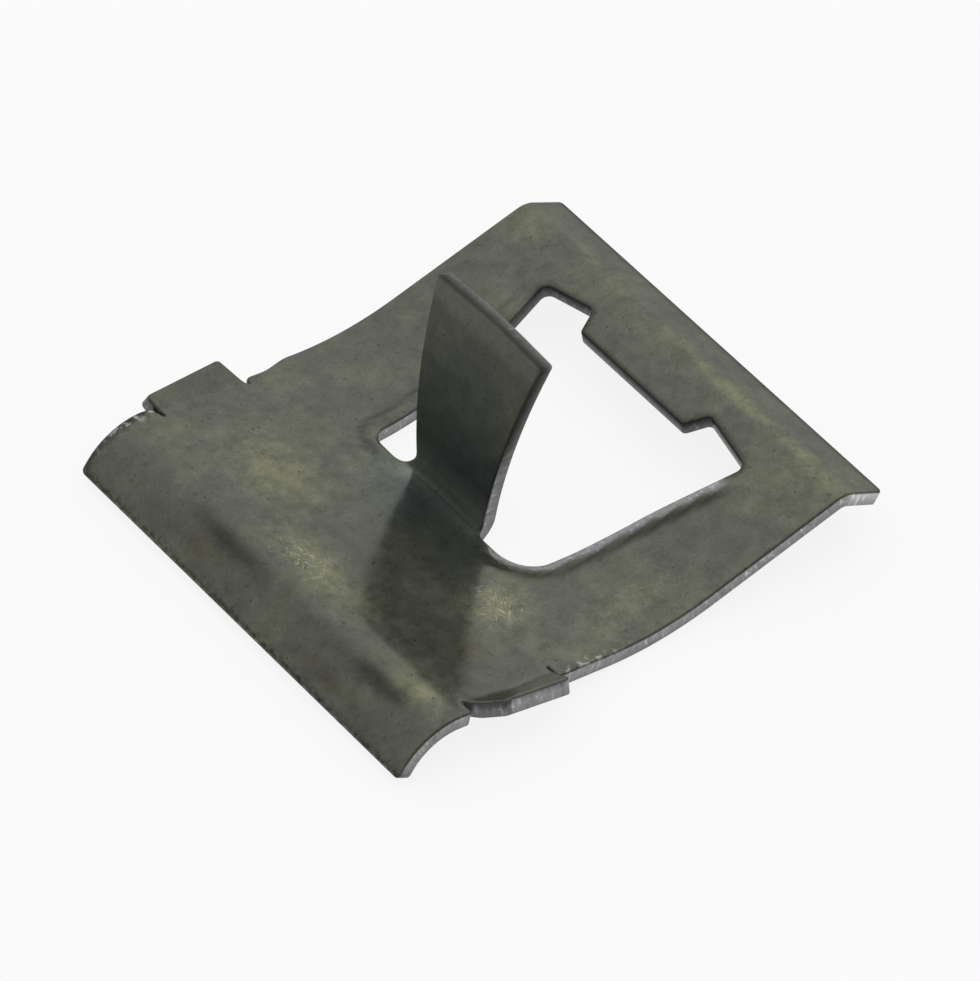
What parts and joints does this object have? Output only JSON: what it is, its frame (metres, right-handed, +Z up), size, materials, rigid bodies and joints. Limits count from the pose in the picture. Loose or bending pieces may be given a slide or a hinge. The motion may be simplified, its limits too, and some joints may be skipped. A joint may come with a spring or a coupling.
{
  "type": "molding clip",
  "caption": "Bowed spring-steel clip with turned-down heel and toe lips, side ears and a dovetail tongue lanced up from a window, for holding a trim molding to a panel.",
  "frame": {"origin": "centre of the bounding box in plan, on the table that the clip lies on", "axes": "+X from the heel lip to the toe lip, +Y across the strip, +Z up off the table"},
  "size_m": [0.031, 0.0278, 0.0125],
  "materials": {
    "spring_steel": "dull olive-grey phosphate and oil finish on spring steel, mottled and lightly scratched"
  },
  "bodies": {
    "root": {"molding_clip": "spring_steel"}
  },
  "joints": []
}
